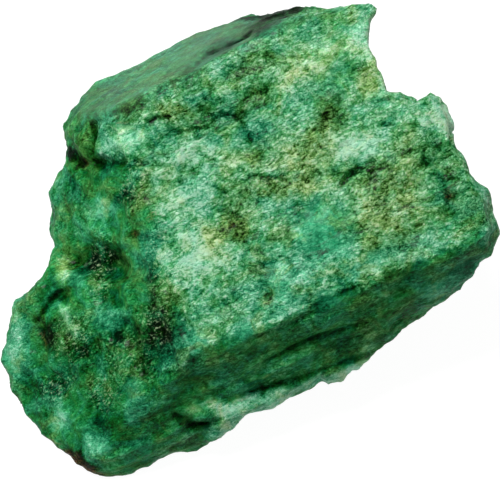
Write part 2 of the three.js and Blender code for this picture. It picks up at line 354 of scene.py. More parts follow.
def cube_grid(steps):
    """The six grids of a cube: whole numbers from 0 to steps on each axis, shape (6, steps+1, steps+1, 3)."""
    line = np.arange(steps + 1)
    a, b = np.meshgrid(line, line, indexing="ij")
    low, high = np.zeros_like(a), np.full_like(a, steps)
    sides = [
        (a, b, high), (a, steps - b, low), (high, a, b),
        (low, steps - a, b), (steps - a, high, b), (a, low, b),
    ]
    return np.stack([np.stack(side, axis=-1) for side in sides])


def lie_down(points):
    """The stone's own frame leaned forward and set on the surface, in metres of the frame."""
    u, v, w = np.moveaxis(points, -1, 0)
    across = v * math.cos(LEAN) - w * math.sin(LEAN)
    up = v * math.sin(LEAN) + w * math.cos(LEAN) + REST_HEIGHT
    return np.stack([u, across, np.maximum(up, 0.0)], axis=-1) * METRES


# ---- the finished surface: breaks, growth lines and etching, in the stone's millimetres ----

# Fine cracks on the W side: corners in U and V, half width, depth, darkness.
FISSURES = [
    ([(-12.0, 14.4), (-11.0, 14.9), (-9.8, 14.9), (-9.1, 13.4), (-7.7, 13.0), (-6.7, 13.5), (-5.1, 13.4),
      (-4.2, 14.4), (-3.4, 15.1), (-1.6, 15.0), (-0.9, 14.3), (0.0, 12.8), (0.5, 11.8)], 0.3, 0.3, 0.75),
    ([(-5.3, 17.0), (-4.8, 17.4), (-4.5, 18.1)], 0.3, 0.25, 0.7),
    ([(-5.9, 10.6), (-5.4, 10.0), (-4.3, 9.5)], 0.25, 0.2, 0.55),
    ([(-8.3, 8.8), (-8.0, 6.8)], 0.25, 0.2, 0.5),
    ([(-4.9, 6.9), (-4.3, 6.6), (-3.4, 6.3), (-2.7, 5.8)], 0.3, 0.25, 0.7),
    ([(0.0, 7.8), (2.4, 7.6), (4.9, 6.9)], 0.25, 0.2, 0.7),
    ([(-3.1, 3.7), (-0.4, 2.6)], 0.3, 0.2, 0.4),
    ([(11.0, 6.7), (12.2, 8.1), (13.2, 9.0), (14.7, 9.6)], 0.4, 0.4, 0.6),
    ([(16.2, 14.0), (18.4, 13.6), (20.2, 13.9), (21.4, 12.8), (22.4, 11.4)], 0.3, 0.3, 0.45),
    ([(15.1, 16.6), (18.0, 16.8)], 0.25, 0.2, 0.5),
    ([(-22.8, -6.3), (-23.9, -7.0), (-24.8, -8.1), (-25.9, -9.6)], 0.35, 0.4, 0.7),
    ([(-18.9, 13.9), (-18.7, 12.4), (-19.0, 10.6)], 0.3, 0.5, 0.85),
    ([(-18.9, 14.2), (-14.4, 15.9), (-13.1, 16.1), (-9.5, 18.7), (-4.3, 23.1), (-2.3, 24.0), (0.0, 24.9)],
     0.25, 0.2, 0.2),
    ([(-4.3, 22.6), (-2.3, 23.7), (0.3, 25.2)], 0.22, 0.12, 0.3),
    ([(-18.7, 9.8), (-15.0, 9.4), (-11.5, 9.2), (-8.0, 8.9)], 0.35, 0.3, 0.5),
    ([(-21.3, 8.5), (-20.5, 9.5), (-19.9, 8.4)], 0.25, 0.3, 0.6),
    ([(6.9, -8.1), (11.6, -5.8), (16.0, -4.7), (18.4, -3.2)], 0.35, 0.2, 0.45),
    ([(0.0, -18.4), (4.9, -16.8), (10.9, -14.9), (15.5, -13.5)], 0.25, 0.2, 0.4),
    ([(-8.8, -21.0), (-6.1, -22.2), (-3.7, -21.6)], 0.5, 0.3, 0.7),
    ([(0.0, -11.6), (6.0, -9.6), (9.8, -7.4)], 0.3, 0.2, 0.35),
    ([(2.0, -14.4), (8.0, -11.6), (14.0, -9.8)], 0.3, 0.2, 0.4),
]

# Soft patches on the W side: middle U and V, half sizes, turn in degrees, strength. Light and dark ones
# change the lightness. Calm ones take the grain out, and clear ones the sugar.
LIGHT_PATCHES = [
    # the broad face
    # The first patch lightens the pale left middle: partly its own pale colour, partly a painted highlight.
    (-6.1, -2.5, 4.3, 3.6, 27, 0.16), (-6.4, 11.2, 2.8, 2.2, 27, 0.12),
    (-3.9, 20.0, 2.4, 1.4, 27, 0.12), (5.1, 17.9, 1.5, 2.2, 0, 0.14),
    (8.0, 23.4, 2.4, 1.6, 10, 0.12), (12.7, 10.7, 3.4, 1.8, 20, 0.22),
    (22.8, 15.1, 1.9, 2.1, 0, 0.18), (14.2, 24.0, 1.2, 3.0, 0, 0.12), (2.9, 2.3, 2.0, 2.0, 0, 0.1),
    (-14.1, 12.4, 1.8, 1.8, 0, 0.1), (-12.0, 12.0, 5.0, 3.0, 10, 0.05),
    (16.0, 20.0, 5.0, 5.5, 0, 0.12), (22.9, 15.2, 2.0, 2.2, 0, 0.2), (-6.0, 7.5, 5.0, 5.0, 0, 0.13),
    (-16.0, 11.6, 3.6, 1.9, 0, 0.11), (12.9, 24.6, 2.0, 3.4, 0, 0.1),
    (13.6, 10.9, 4.4, 2.2, 18, 0.1), (8.8, 6.0, 5.0, 1.4, 18, 0.07),
    (22.0, -0.5, 5.0, 0.9, 22, 0.08), (5.6, 8.5, 4.5, 2.6, 15, 0.07), (2.6, 2.6, 2.4, 2.6, 0, 0.08),
    (26.9, 3.2, 1.8, 4.0, 8, 0.08), (6.0, -8.4, 4.5, 0.9, 27, 0.14),
    (14.6, -3.4, 5.0, 0.9, 20, 0.08), (-9.6, 14.4, 2.6, 1.0, 10, 0.08),
    (-7.2, 3.8, 3.4, 2.2, 20, 0.06), (5.0, 10.5, 3.5, 2.0, 10, 0.05),
    (19.8, 13.6, 3.0, 2.6, 0, 0.05), (6.1, 21.4, 3.5, 3.0, 0, 0.05),
    # the broken left end and its lobe
    # The first patch here and the last of the group lighten the lobe's thin left rim, partly with painted
    # light from the table below.
    (-27.4, -12.7, 2.0, 5.5, 0, 0.09), (-20.7, 13.0, 1.6, 1.6, 0, 0.08),
    (-13.0, -2.5, 1.3, 3.0, 0, 0.06), (-17.0, 1.0, 4.0, 3.6, 0, 0.04),
    (-23.3, 5.1, 1.2, 4.4, 0, 0.12), (-17.9, 3.9, 2.0, 1.2, 0, 0.17),
    # The second patch here and the first on the next line are painted highlights along ridges of the broken
    # end.
    (-17.1, -9.0, 2.4, 1.4, 0, 0.14), (-22.6, -3.5, 0.7, 2.1, 0, 0.34),
    (-21.8, -9.8, 0.6, 2.6, 28, 0.3), (-13.7, -19.4, 1.3, 3.2, 0, 0.03),
    (-23.3, -22.1, 0.9, 1.1, 0, 0.25), (-18.2, -24.8, 1.7, 1.6, 0, 0.25),
    (-28.9, -12.7, 1.3, 6.0, 0, 0.18),
    # the shaded face and the ledge
    (5.0, -14.0, 7.0, 2.2, 22, 0.04), (22.6, -5.7, 3.0, 1.6, 28, 0.16),
    (14.8, -12.5, 1.6, 1.0, 25, 0.2), (-5.4, -19.9, 2.2, 0.9, 8, 0.3),
    (-10.2, -25.5, 0.9, 0.5, 0, 0.2), (28.5, 1.0, 1.2, 3.0, 15, 0.1),
]
DARK_PATCHES = [
    # the broad face
    (8.8, 0.8, 4.0, 3.8, 0, 0.12), (-8.4, -12.8, 2.6, 2.2, 0, 0.04),
    (4.3, -4.8, 6.5, 3.4, 20, 0.07), (9.9, 14.6, 1.7, 3.4, -15, 0.06),
    (-1.9, 2.3, 1.4, 2.0, 20, 0.12), (24.4, 5.0, 1.2, 3.4, 0, 0.1),
    (9.4, 15.9, 1.8, 2.5, -20, 0.15), (8.2, 12.4, 0.9, 1.6, 0, 0.12),
    (2.0, 13.2, 2.2, 1.5, 0, 0.12), (2.6, 23.0, 0.8, 0.8, 30, 0.2), (1.8, 18.3, 0.5, 0.4, 0, 0.4),
    (15.6, 7.2, 3.6, 2.6, 20, 0.08), (16.3, 2.5, 3.6, 3.0, 0, 0.04),
    (13.3, 8.6, 2.3, 0.45, 27, 0.2), (20.7, 9.2, 0.8, 0.7, 0, 0.24), (23.6, 6.1, 1.0, 2.5, 8, 0.3),
    (27.2, 3.4, 1.8, 1.9, 0, 0.15), (3.1, 7.5, 2.0, 0.35, 5, 0.3), (-1.3, 1.9, 1.4, 1.5, 0, 0.17),
    (-4.3, 0.2, 1.0, 1.2, 0, 0.15), (2.0, -6.2, 0.6, 0.5, 0, 0.6),
    (-13.6, 16.3, 1.4, 1.0, 25, 0.16), (-5.0, 12.2, 1.0, 0.9, 0, 0.14),
    (1.0, 17.2, 2.8, 1.2, 20, 0.1), (0.2, 20.7, 2.4, 1.1, 25, 0.1),
    (-3.1, 23.4, 2.4, 1.4, 27, 0.12),
    # the bevel and the top edge, with painted shade where the edge turns away from the light
    (1.8, 25.9, 2.4, 1.1, 20, 0.22), (3.4, 28.1, 4.2, 0.9, 8, 0.7), (0.8, 26.1, 3.0, 1.2, 20, 0.06),
    # the broken left end and its lobe
    (-21.5, -12.5, 4.5, 5.0, 0, 0.07), (-15.5, -22.0, 5.0, 4.0, 0, 0.08),
    # The second patch here is painted shade in the notch under the knob.
    (-20.8, 12.4, 1.6, 2.4, 0, 0.12), (-21.2, 10.3, 1.5, 0.7, -20, 0.9),
    (-14.6, 5.3, 1.2, 0.8, 0, 0.25), (-13.2, 0.8, 0.9, 0.6, 0, 0.35),
    (-17.9, -2.0, 1.3, 2.6, 0, 0.2), (-15.9, -11.6, 0.9, 0.9, 0, 0.35),
    (-8.8, -11.1, 1.1, 1.1, 0, 0.2), (-11.0, -7.2, 1.0, 3.6, 8, 0.12),
    (-24.5, -11.4, 1.1, 2.0, 0, 0.25), (-23.0, -17.9, 1.6, 1.4, 0, 0.18),
    (-16.2, 9.1, 3.2, 0.6, -3, 0.2), (-17.4, -21.8, 1.6, 0.9, 0, 0.22),
    # painted shade in the crevice at the lobe's tip
    (-20.2, -26.7, 2.2, 0.8, -32, 0.6),
    # the shaded face and the ledge
    # The second patch here is painted shade in the crevice under the chipped corner.
    (18.4, -5.2, 1.3, 2.0, -10, 0.14), (-6.8, -22.2, 2.6, 0.6, 15, 0.2),
]
OLIVE_PATCHES = [
    # the broad face
    (3.7, 6.3, 5.5, 1.3, 5, 0.8), (16.3, 4.8, 4.4, 5.8, 0, 0.85), (-9.7, 16.1, 1.9, 1.1, 0, 0.7),
    (-13.7, 16.3, 1.6, 1.2, 0, 0.5), (12.3, 26.9, 0.8, 1.3, 0, 0.9), (14.3, 18.5, 1.2, 2.0, 0, 0.8),
    (0.2, 20.7, 2.8, 1.3, 27, 0.7), (6.1, 9.4, 1.6, 1.8, 0, 0.6), (-1.3, 1.9, 1.8, 1.5, 0, 0.8),
    (-4.3, 0.2, 1.1, 1.4, 0, 0.6), (2.0, -6.5, 1.1, 0.8, 0, 0.9), (8.6, 13.6, 1.8, 3.6, -15, 0.5),
    (27.2, 3.4, 1.8, 2.0, 0, 0.4), (1.0, 17.2, 3.0, 1.2, 20, 0.4), (17.1, 16.8, 1.6, 0.7, 0, 0.5),
    (7.0, 21.0, 4.0, 3.0, 20, 0.3), (6.5, 9.8, 4.2, 3.2, 10, 0.55), (9.9, 14.6, 2.0, 3.6, -15, 0.5),
    (-8.9, 15.2, 3.0, 1.0, 5, 0.6), (-1.8, 2.4, 2.0, 2.4, 0, 0.6), (-4.2, 0.3, 1.3, 1.3, 0, 0.6),
    (15.4, 19.8, 3.0, 2.0, 0, 0.45), (-12.6, 6.2, 1.0, 3.2, -18, 0.6),
    (24.5, 6.0, 1.2, 3.0, 0, 0.35), (19.5, 11.0, 2.6, 2.0, 0, 0.4), (1.6, 9.2, 2.5, 0.9, 0, 0.5),
    (4.5, 21.0, 2.0, 2.0, 0, 0.35),
    # the bevel and the top edge
    (-8.0, 22.0, 3.0, 1.0, 27, 0.2),
    # the broken left end and its lobe
    (-22.6, -3.5, 0.8, 2.2, 0, 0.6), (-26.0, -10.2, 0.7, 2.5, 0, 0.5),
    (-14.0, -0.4, 1.3, 1.5, 0, 0.4), (-22.0, -10.8, 2.0, 2.5, 0, 0.45),
    (-20.8, 11.6, 1.6, 2.0, 0, 0.3), (-10.2, -8.0, 1.6, 4.0, 12, 0.4),
    # the shaded face and the ledge
    (-7.3, -24.3, 1.8, 1.1, 20, 0.5), (14.8, -12.5, 1.8, 1.2, 25, 0.5),
]
TEAL_PATCHES = [
    # the broad face
    (8.8, 1.0, 4.3, 4.0, 0, 1.0), (-4.5, 12.2, 1.2, 1.2, 0, 0.7), (13.2, 11.2, 3.2, 1.8, 15, 0.6),
    (-13.2, 9.2, 1.6, 0.5, 0, 0.9), (-6.1, -11.8, 2.0, 1.3, 20, 1.0),
    (0.0, -10.2, 3.2, 1.0, 27, 0.9), (7.3, -7.2, 4.0, 1.2, 25, 0.7),
    (14.7, -2.5, 4.0, 1.3, 22, 0.9), (2.4, 25.3, 1.8, 0.9, 15, 0.6),
    (28.4, 3.0, 2.4, 4.6, 10, 0.45), (3.7, -5.3, 5.5, 2.4, 27, 0.85),
    (-14.1, 12.4, 2.0, 2.0, 0, 0.4), (-8.5, 10.6, 3.4, 1.2, 0, 0.35),
    (0.5, 13.4, 2.0, 1.2, 15, 0.5), (3.0, -2.6, 3.0, 2.0, 0, 0.5), (-8.4, -12.8, 3.0, 2.4, 0, 0.9),
    # the broken left end and its lobe
    (-11.6, -0.6, 0.9, 1.8, 0, 0.9), (-17.7, 3.9, 2.0, 1.2, 0, 0.7), (-23.3, 5.1, 1.2, 4.4, 0, 0.3),
    (-28.6, -12.7, 1.6, 6.0, 0, 0.8), (-13.5, -19.4, 1.4, 3.2, 0, 0.9),
    (-18.2, -24.8, 1.8, 1.7, 0, 0.9), (-23.3, -21.8, 1.2, 1.5, 0, 0.6),
    (-17.1, -9.0, 2.4, 1.6, 0, 0.8), (-11.9, -2.5, 1.3, 3.4, 0, 0.8),
    # the shaded face and the ledge
    (23.3, -5.3, 3.0, 1.5, 28, 0.9), (26.5, -3.0, 3.0, 2.0, 28, 0.5),
]
RUST_PATCHES = [
    # the broad face
    (-15.3, 13.6, 0.9, 0.45, 30, 0.8), (11.0, 6.6, 0.5, 0.5, 0, 0.9),
    (17.2, 5.1, 3.4, 3.8, 0, 0.14), (23.9, 5.7, 0.7, 1.5, 0, 0.45), (2.4, 7.0, 2.4, 0.6, 5, 0.35),
    (-2.0, 2.4, 1.2, 0.9, 0, 0.3),
    # the broken left end and its lobe
    (-11.5, 3.1, 0.5, 0.7, 0, 0.8), (-13.1, 0.9, 0.7, 0.4, 0, 0.5),
    (-17.4, -17.9, 0.7, 1.0, 0, 0.5), (-25.2, -11.8, 0.4, 0.8, 0, 0.5),
    (-19.8, 9.4, 0.4, 0.5, 0, 0.7),
]
# Sparkling places: painted glints are put there, and the grain and sugar are raised.
SPARKLE_PATCHES = [
    # the broken left end and its lobe
    (-17.9, -3.2, 1.3, 3.5, 0, 0.9), (-13.7, 6.3, 1.5, 2.5, -20, 0.9),
    (-10.4, -3.5, 1.6, 5.0, 5, 0.8), (-11.0, -10.2, 1.6, 2.5, 10, 0.8),
    (-21.4, -12.0, 2.5, 3.0, 0, 0.6), (-17.1, -18.2, 1.8, 1.8, 0, 0.7),
    (-23.0, -17.6, 1.8, 1.6, 0, 0.7), (-14.5, -14.0, 3.0, 3.0, 0, 0.4),
]
CALM_PATCHES = [
    # the broad face
    (14.0, 22.0, 6.0, 8.0, 0, 0.35), (-15.3, 11.7, 3.8, 2.0, 0, 0.5), (6.1, 21.4, 3.5, 3.0, 0, 0.2),
    (8.8, 1.6, 4.4, 3.4, 10, 0.35), (22.6, 15.3, 2.2, 2.2, 0, 0.3),
    (13.6, 10.8, 4.6, 2.2, 18, 0.22),
]
CLEAR_PATCHES = [(26.7, 3.0, 2.4, 5.0, 8, 0.65), (-10.4, -5.0, 1.6, 5.5, 5, 0.45)]
PATCH_EDGE = 1.8                    # firms up the border of every patch
STAINED_EDGE = [(-23.9, -25.0), (-20.6, -27.3), (-17.4, -29.0)]     # the brown edge of the lobe's tip
STAIN_WIDTH = 0.7

# Where the W side ends: how far the surface has turned away from W, and how far below the rim it lies.
TURNED_AWAY = (-0.3, 0.0)
BELOW_RIM = (-3.0, -0.4)
BASE_FADE = (-0.6, 0.4)             # the fine relief fades out over this distance to the base

# How light, sugary, grainy and glossy each part of the surface is before the patches.
LIGHT_OF = {"broad": 0.68, "bevel": 0.24, "shaded": 0.41, "under": 0.45, "rough": 0.47}
SUGAR_OF = {"broad": 0.85, "bevel": 1.0, "shaded": 0.42, "rough": 0.05}
GRAIN_OF = {"broad": 1.0, "bevel": 0.2, "shaded": 0.5, "under": 0.6, "rough": 0.5}
GLOSS_OF = {"broad": 0.03, "bevel": 0.12, "shaded": 0.03, "rough": 0.05}
BEVEL_FADE = 0.6                    # how much of the bevel's own finish is lost on its hidden side
PATCH_GAIN = 1.2
# The lip along the ledge is lighter and more teal: partly its own paler colour, partly painted light where
# its top catches the light.
LEDGE_TONE_AND_PAINTED_LIGHT, LEDGE_TEAL = 0.4, 0.7
CLOUD_LIGHT, DRIFT_LIGHT = 0.05, 0.06
# Cracks and the shaded face's rough part are darker in colour. The hollows of the fine relief get painted
# shade and its crests painted light.
CRACK_DARK, HOLLOW_PAINTED_SHADE, SHADED_DARK, CREST_PAINTED_LIGHT = 0.55, 0.2, 0.04, 0.12
RUST_GAIN = 0.7
# Painted sheen: the bevel's colour is washed pale, standing in for the grey reflection on its smooth face.
PAINTED_BEVEL_SHEEN = 0.09


def painted(u, v, listed):
    """The sum of a list of firm-edged spots at each point."""
    return np.sum([strength * spot(u, v, *place, edge=PATCH_EDGE) for *place, strength in listed], axis=0)


def weld(whole):
    """The unique corners of the six grids, as places in the flat list of corners, and the grids' squares."""
    size = whole.shape[1]
    keys = (whole[..., 0] * size + whole[..., 1]) * size + whole[..., 2]
    _, first, inverse = np.unique(keys.ravel(), return_index=True, return_inverse=True)
    number = inverse.reshape(keys.shape)
    corners = [number[:, :-1, :-1], number[:, 1:, :-1], number[:, 1:, 1:], number[:, :-1, 1:]]
    return first, np.stack(corners, axis=-1).reshape(-1, 4)


def square_normals(points, squares):
    """The cross products of the squares' diagonals."""
    first, second, third, fourth = (points[squares[:, corner]] for corner in range(4))
    return np.cross(third - first, fourth - second)


def corner_normals(points, squares):
    """Unit normals at the corners: the sum of the square normals round each corner."""
    normals = square_normals(points, squares)
    total = np.zeros_like(points)
    for axis in range(3):
        for corner in range(4):
            total[:, axis] += np.bincount(squares[:, corner], normals[:, axis], len(points))
    return total / (np.linalg.norm(total, axis=1, keepdims=True) + 1e-12)


def face_shares(direction, side):
    """How much each prism face makes up the surface in each direction, and how much the broken rest does."""
    plain = np.maximum(reach_of_faces(BODY, direction), reach_of_faces(LOBE, direction))
    nearness = [np.maximum(direction @ normal, 0.0) / distance * plain for normal, distance in PRISM]
    shares = [smooth(near, SHARE_FROM, 1.0) * (1.0 - side) for near in nearness]
    total = np.maximum(sum(shares), 1.0)
    shares = [share / total for share in shares]
    return shares, np.clip(1.0 - sum(shares), 0.0, 1.0)


def along_prism(points):
    """Coordinates along the prism axis, across it, and out along W."""
    cosine, sine = math.cos(AXIS_TURN), math.sin(AXIS_TURN)
    u, v, w = np.moveaxis(points, -1, 0)
    return np.stack([u * cosine + v * sine, v * cosine - u * sine, w], axis=-1)


# The fine relief, as sizes and heights, and as heights on each prism face.
SWELL_SIZE, SWELL_HEIGHT = 8.0, 0.25
BROKEN_CHIPS = [(4.6, 1.0), (2.1, 0.55), (1.05, 0.28)]
LINE_SIZE, LINE_STRETCH = 1.3, 0.12
LINE_HEIGHTS = {BROAD: 0.08, SHADED: 0.16, UNDER_BEVEL: 0.12, UNDERCUT: 0.12}
LONG_CHIPS = [(3.4, 0.3, 1.0), (1.4, 0.4, 0.4)]     # size, stretch and height
LONG_CHIP_HEIGHTS = {BROAD: 0.75, BEVEL: 0.15, SHADED: 0.6, UNDER_BEVEL: 0.5, UNDERCUT: 0.5}
STEP_SIZE, STEP_STRETCH, STEP_COUNT, STEP_HEIGHT = 3.2, 0.5, 3.0, 0.12
STEP_HEIGHTS = {BROAD: 1.0, SHADED: 0.5}
STEP_EDGE = (0.35, 0.65)
GRAIN_SIZE, GRAIN_HEIGHT = 0.8, 0.07


def weighed(parts, weights):
    """The sum of weight times part over the parts that have a weight."""
    return sum(weight * parts[name] for name, weight in weights.items())


def fine_relief(points, shares, broken):
    """Heights along the normal: slow swells all over, scooped chips on the broken parts, growth lines and
    long chips along the prism axis on its faces, low etched steps on the broad and shaded faces, and a fine
    grain."""
    swell, line, step, grain = (turned_noise(seed) for seed in (11, 12, 13, 14))
    chips = [chipped(seed) for seed in (15, 16, 17)]
    prism = along_prism(points)
    height = SWELL_HEIGHT * layered(swell, points, SWELL_SIZE, 2)
    height += broken * sum(deep * scoop(points / size) for scoop, (size, deep) in zip(chips, BROKEN_CHIPS))
    lines = layered(line, prism * [LINE_STRETCH, 1.0, 1.0], LINE_SIZE, 2)
    height += lines * weighed(shares, LINE_HEIGHTS)
    long_chips = sum(deep * scoop(prism * [stretch, 1.0, 1.0] / size)
                     for scoop, (size, stretch, deep) in zip(chips, LONG_CHIPS))
    height += long_chips * weighed(shares, LONG_CHIP_HEIGHTS)
    levels = STEP_COUNT * layered(step, prism * [STEP_STRETCH, 1.0, 1.0], STEP_SIZE, 2)
    stairs = np.floor(levels) + smooth(levels - np.floor(levels), *STEP_EDGE)
    height += STEP_HEIGHT * stairs * weighed(shares, STEP_HEIGHTS)
    height += GRAIN_HEIGHT * layered(grain, points, GRAIN_SIZE, 1) * (shares[BROAD] + broken)
    return height


def crystal_skin():
    """The welded skin and what the finish needs to know about it."""
    whole = cube_grid(GRID_STEPS)
    first, squares = weld(whole)
    even = np.tan((whole / GRID_STEPS * 2.0 - 1.0) * np.pi / 4).reshape(-1, 3)[first] * HALF_SIZES
    direction = spread_along_rim(even / np.linalg.norm(even, axis=1, keepdims=True))
    reach, side = reach_towards(direction)
    up = direction[:, 1] * math.sin(LEAN) + direction[:, 2] * math.cos(LEAN)
    to_base = np.where(up < 0.0, REST_HEIGHT / np.maximum(-up, 1e-6), np.inf)
    points = direction * np.minimum(reach, to_base)[:, None]

    # each grid has its own sense, so every square is turned outwards by itself
    inwards = np.einsum("ik,ik->i", square_normals(points, squares), points[squares].mean(axis=1)) < 0
    squares = np.where(inwards[:, None], squares[:, ::-1], squares)
    normals = corner_normals(points, squares)
    shares, broken = face_shares(direction, side)
    height = fine_relief(points, shares, broken)
    _, rim_height = rim_at(np.arctan2(direction[:, 1], direction[:, 0]))
    facing = smooth(normals[:, 2], *TURNED_AWAY) * smooth(points[:, 2] - rim_height, *BELOW_RIM)
    for path, half_width, depth, _ in FISSURES:
        away = distance_to_path(points[:, 0], points[:, 1], path)
        height -= facing * depth * np.exp(-(away / half_width) ** 2)
    height *= smooth(to_base - reach, *BASE_FADE)
    points = points + normals * height[:, None]
    return points, squares, inwards, shares, height, facing


def piece_from(name, points, squares):
    """A mesh object of quads at the origin."""
    mesh = bpy.data.meshes.new(name)
    mesh.vertices.add(len(points))
    mesh.vertices.foreach_set("co", points.ravel())
    mesh.loops.add(squares.size)
    mesh.loops.foreach_set("vertex_index", squares.ravel())
    mesh.polygons.add(len(squares))
    mesh.polygons.foreach_set("loop_start", np.arange(0, squares.size, 4))
    mesh.polygons.foreach_set("loop_total", np.full(len(squares), 4))
    mesh.update(calc_edges=True)
    mesh.validate()
    mesh.shade_smooth()
    piece = bpy.data.objects.new(name, mesh)
    bpy.context.collection.objects.link(piece)
    return piece


def add_mask(piece, name, values):
    """A value from 0 to 1 at each corner, which a material reads by name."""
    mask = piece.data.attributes.new(name, "FLOAT", "POINT")
    mask.data.foreach_set("value", np.clip(values, 0.0, 1.0).astype(np.float32))


# Where each grid of the cube lies on the map: left, bottom, width, height.
MAP_PLACES = [
    (0.0, 0.4, 0.6, 0.6), (0.6, 0.4, 0.4, 0.6), (0.0, 0.0, 0.25, 0.4), (0.25, 0.0, 0.25, 0.4),
    (0.5, 0.0, 0.25, 0.4), (0.75, 0.0, 0.25, 0.4),
]
MAP_MARGIN = 0.004


def add_map(piece, inwards):
    """Each grid of the cube becomes its own rectangle of the map."""
    line = np.linspace(0.0, 1.0, GRID_STEPS + 1)
    a, b = np.meshgrid(line, line, indexing="ij")
    corners = []
    for left, bottom, width, height in MAP_PLACES:
        s = left + MAP_MARGIN + a * (width - 2 * MAP_MARGIN)
        t = bottom + MAP_MARGIN + b * (height - 2 * MAP_MARGIN)
        place = np.stack([s, t], axis=-1)
        corners.append(np.stack([place[:-1, :-1], place[1:, :-1], place[1:, 1:], place[:-1, 1:]], axis=2))
    corners = np.stack(corners).reshape(-1, 4, 2)
    corners = np.where(inwards[:, None, None], corners[:, ::-1], corners)
    piece.data.uv_layers.new(name="OFBake").data.foreach_set("uv", corners.ravel())


def crack_darkness(points, drift, wander):
    """The darkest crack at each point: its darkness, broken up by slow noise, falling off to its sides."""
    ragged = smooth(layered(wander, points - 60.0, 1.6, 2), -0.8, 0.2)
    u, v = np.moveaxis(points[:, :2] + 0.25 * drift, -1, 0)
    cracks = np.zeros(len(points))
    for path, half_width, _, darkness in FISSURES:
        near = distance_to_path(u, v, path)
        cracks = np.maximum(cracks, darkness * ragged * np.exp(-(near / half_width) ** 2))
    return cracks


def surface_parts(u, v, shares, facing):
    """How much each place belongs to the broad face, the bevel, the shaded face, the faces underneath and the
    rough rest."""
    inside = smooth(u - np.interp(v, BORDER[:, 1], BORDER[:, 0]), -0.3, 0.7)
    above_ridge = smooth(v - np.interp(u, RIDGE[:, 0], RIDGE[:, 1]), -0.2, 0.35)
    above_foot = smooth(v - np.interp(u, FOOT[:, 0], FOOT[:, 1]), -0.3, 0.6)
    past_left_end = smooth(u, -9.8, -7.8)
    front = facing * (1.0 - shares[BEVEL])
    parts = {
        "broad": front * inside * above_ridge,
        "bevel": shares[BEVEL] * (1.0 - BEVEL_FADE * (1.0 - facing)),
        "shaded": front * (1.0 - above_ridge) * above_foot * past_left_end,
        "under": shares[UNDER_BEVEL] + shares[UNDERCUT],
    }
    parts["rough"] = np.clip(1.0 - sum(parts.values()), 0.0, 1.0)
    return parts


def add_finish(crystal, points, shares, height, facing):
    """The masks that the material reads. Places are moved about by slow noise, so that no patch has a plain
    outline."""
    wander = turned_noise(31)
    drift = np.stack([layered(wander, points + offset, 2.4, 3) for offset in (0.0, 40.0)], axis=-1)
    cloud = layered(wander, points + 80.0, 7.0, 2)
    u, v = np.moveaxis(points[:, :2] + 0.75 * drift, -1, 0)
    parts = surface_parts(u, v, shares, facing)
    hidden = 1.0 - facing
    lip = facing * along_ledge(u) * smooth(LEDGE_LEVEL + LEDGE_SLOPE * u - v, -0.2, 0.5)
    stain = facing * np.exp(-(distance_to_path(u, v, STAINED_EDGE) / STAIN_WIDTH) ** 2)
    spots = facing * (painted(u, v, LIGHT_PATCHES) - painted(u, v, DARK_PATCHES))
    sparkle = facing * painted(u, v, SPARKLE_PATCHES)

    # the lip's extra lightness is partly painted light
    lightness = weighed(parts, LIGHT_OF) + PATCH_GAIN * spots + LEDGE_TONE_AND_PAINTED_LIGHT * lip
    lightness += CLOUD_LIGHT * cloud + DRIFT_LIGHT * hidden * drift[:, 0]
    lightness -= CRACK_DARK * facing * crack_darkness(points, drift, wander)
    # painted shade in the hollows of the fine relief, the shaded face's rough part a little darker in colour,
    # and painted light on the crests
    lightness -= HOLLOW_PAINTED_SHADE * smooth(-height, 0.1, 0.6) + SHADED_DARK * parts["rough"] * shares[SHADED]
    lightness += CREST_PAINTED_LIGHT * smooth(height, 0.05, 0.5)

    olive = facing * painted(u, v, OLIVE_PATCHES) + 0.6 * hidden * smooth(cloud, 0.1, 0.7)
    teal = facing * painted(u, v, TEAL_PATCHES) + LEDGE_TEAL * lip
    teal += 0.15 * smooth(-cloud, 0.0, 0.6) + 0.5 * parts["bevel"]
    cool = np.clip(teal, 0.0, 1.0)

    sugar = weighed(parts, SUGAR_OF) + 1.8 * parts["broad"] * spots + 0.2 * sparkle
    sugar += 0.4 * hidden * smooth(drift[:, 1], 0.0, 0.6)
    sugar *= np.clip(1.0 - 0.35 * cool - facing * painted(u, v, CLEAR_PATCHES), 0.0, 1.0)

    grain = weighed(parts, GRAIN_OF) + sparkle
    grain -= facing * painted(u, v, CALM_PATCHES) + 0.35 * cool * parts["broad"]
    grain *= 0.85 + 0.45 * smooth(layered(wander, points + 120.0, 5.0, 2), -0.5, 0.5)

    add_mask(crystal, "lightness", lightness)
    add_mask(crystal, "sugar", sugar)
    add_mask(crystal, "grain", grain)
    # painted sheen on the bevel, where it is not dark
    add_mask(crystal, "painted_sheen", PAINTED_BEVEL_SHEEN * parts["bevel"] * smooth(lightness, -0.1, 0.2))
    add_mask(crystal, "gloss", weighed(parts, GLOSS_OF) * smooth(lightness, 0.1, 0.4))
    add_mask(crystal, "olive", olive)
    add_mask(crystal, "teal", teal - 0.5 * np.clip(olive, 0.0, 1.0))
    add_mask(crystal, "sparkle", sparkle)
    add_mask(crystal, "rust", RUST_GAIN * facing * painted(u, v, RUST_PATCHES) + stain)


def build_crystal():
    """The skin as a mesh, laid down and set in the middle of the frame's box, with its map and its masks."""
    points, squares, inwards, shares, height, facing = crystal_skin()
    lying = lie_down(points)
    low, high = lying.min(axis=0), lying.max(axis=0)
    middle = (np.array(frame_low) + np.array(frame_high)) / 2
    lying[:, :2] += (middle - (low + high) / 2)[:2]
    crystal = piece_from("emerald_skin", lying, squares)
    add_map(crystal, inwards)
    add_finish(crystal, points, shares, height, facing)
    return crystal


# ---- the emerald material ----

def linear(red, green, blue):
    """A colour given as 0 to 255 screen values, made linear, with alpha 1."""
    return tuple((channel / 255.0) ** 2.2 for channel in (red, green, blue)) + (1.0,)


